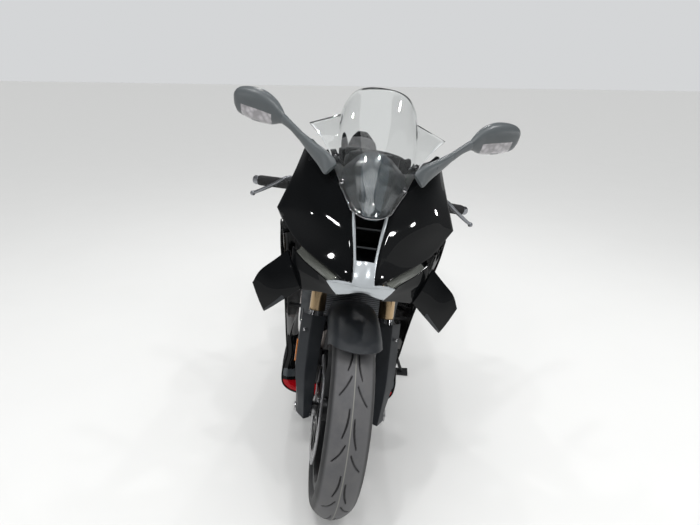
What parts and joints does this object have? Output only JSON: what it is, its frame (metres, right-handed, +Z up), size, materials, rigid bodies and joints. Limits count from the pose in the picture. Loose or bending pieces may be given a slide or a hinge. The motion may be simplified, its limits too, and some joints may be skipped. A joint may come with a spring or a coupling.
{
  "type": "sport motorcycle",
  "caption": "Faired sport motorcycle with a tall screen, winglets and an upside-down fork, leaning on its side stand.",
  "frame": {"origin": "on the floor, under the middle of the bounding box", "axes": "+X the way the bike points, +Y to its left, +Z up from the floor; the bike leans 7 degrees to its left"},
  "size_m": [2.036, 0.8396, 1.2226],
  "materials": {
    "alloy": "satin cast aluminium",
    "black_gloss": "deep gloss black paint",
    "carbon": "grey-blue fine weave under lacquer",
    "clear": "clear polished acrylic",
    "core": "fine grey fins",
    "dark_alloy": "satin black anodised",
    "dark_plastic": "fine matte grain",
    "disc": "brushed steel with a blackened centre",
    "engine": "dark grey cast metal",
    "exhaust_steel": "heat-tinted steel",
    "fairing_lower": "gloss black with grey and red areas",
    "fork_steel": "polished",
    "gold": "gold anodised",
    "lamp": "smoked clear lens",
    "red_lens": "red lens",
    "rim": "satin black paint",
    "seat_cover": "matte grained cover",
    "silver_trim": "satin silver paint",
    "steel": "oiled steel",
    "tyre": "matte black rubber"
  },
  "bodies": {
    "root": {"frame": "dark_alloy", "subframe": "dark_alloy", "engine": "engine", "radiator": "core", "exhaust": "exhaust_steel", "silencer": "dark_alloy", "fuel_tank": "black_gloss", "tail_cowl": "black_gloss", "rider_seat": "seat_cover", "pillion_seat": "seat_cover", "tail_light": "red_lens", "plate_holder": "dark_plastic", "swingarm": "dark_alloy", "rear_axle": "steel", "rear_caliper": "gold", "rear_shock": "steel", "rear_hugger": "dark_plastic", "chain": "steel", "drive_sprocket": "steel", "upper_fairing": "black_gloss", "nose_underside": "black_gloss", "side_fairing_left": "fairing_lower", "side_fairing_right": "fairing_lower", "belly_pan": "fairing_lower", "headlights": "lamp", "winglets": "black_gloss", "nose_frame": "silver_trim", "air_duct": "dark_plastic", "windscreen": "clear", "screen_cowl": "carbon", "mirrors": "dark_plastic", "dash": "dark_plastic", "fairing_stay": "dark_alloy", "rearsets": "alloy"},
    "steering": {"fork_tubes": "gold", "fork_sliders": "fork_steel", "lower_clamp": "dark_alloy", "upper_clamp": "dark_alloy", "handlebars": "dark_plastic", "front_axle": "steel", "front_calipers": "dark_alloy", "front_fender": "dark_plastic", "fork_guards": "dark_plastic"},
    "front_wheel": {"front_tyre": "tyre", "front_rim": "rim", "front_disc_left": "disc", "front_disc_right": "disc"},
    "rear_wheel": {"rear_tyre": "tyre", "rear_rim": "rim", "rear_disc": "disc", "rear_sprocket": "steel"},
    "side_stand": {"side_stand": "dark_alloy"}
  },
  "joints": [
    {"name": "steering", "type": "hinge", "parent": "root", "child": "steering", "pos_m": [0.46472, -0.03924, 0.81435], "axis": [-0.3907, 0.1122, 0.9136], "range_deg": [-28.5, 21.5]},
    {"name": "front_wheel_spin", "type": "hinge", "parent": "steering", "child": "front_wheel", "pos_m": [0.71799, -0.1008, 0.29798], "axis": [-0.0562, 0.9878, -0.1453], "continuous": true},
    {"name": "rear_wheel_spin", "type": "hinge", "parent": "root", "child": "rear_wheel", "pos_m": [-0.70196, -0.1006, 0.31462], "axis": [0, 0.9925, -0.1219], "continuous": true},
    {"name": "side_stand_fold", "type": "hinge", "parent": "root", "child": "side_stand", "pos_m": [-0.03196, 0.07786, 0.24181], "axis": [0.0029, 0.939, 0.3438], "range_deg": [0, 89]}
  ]
}
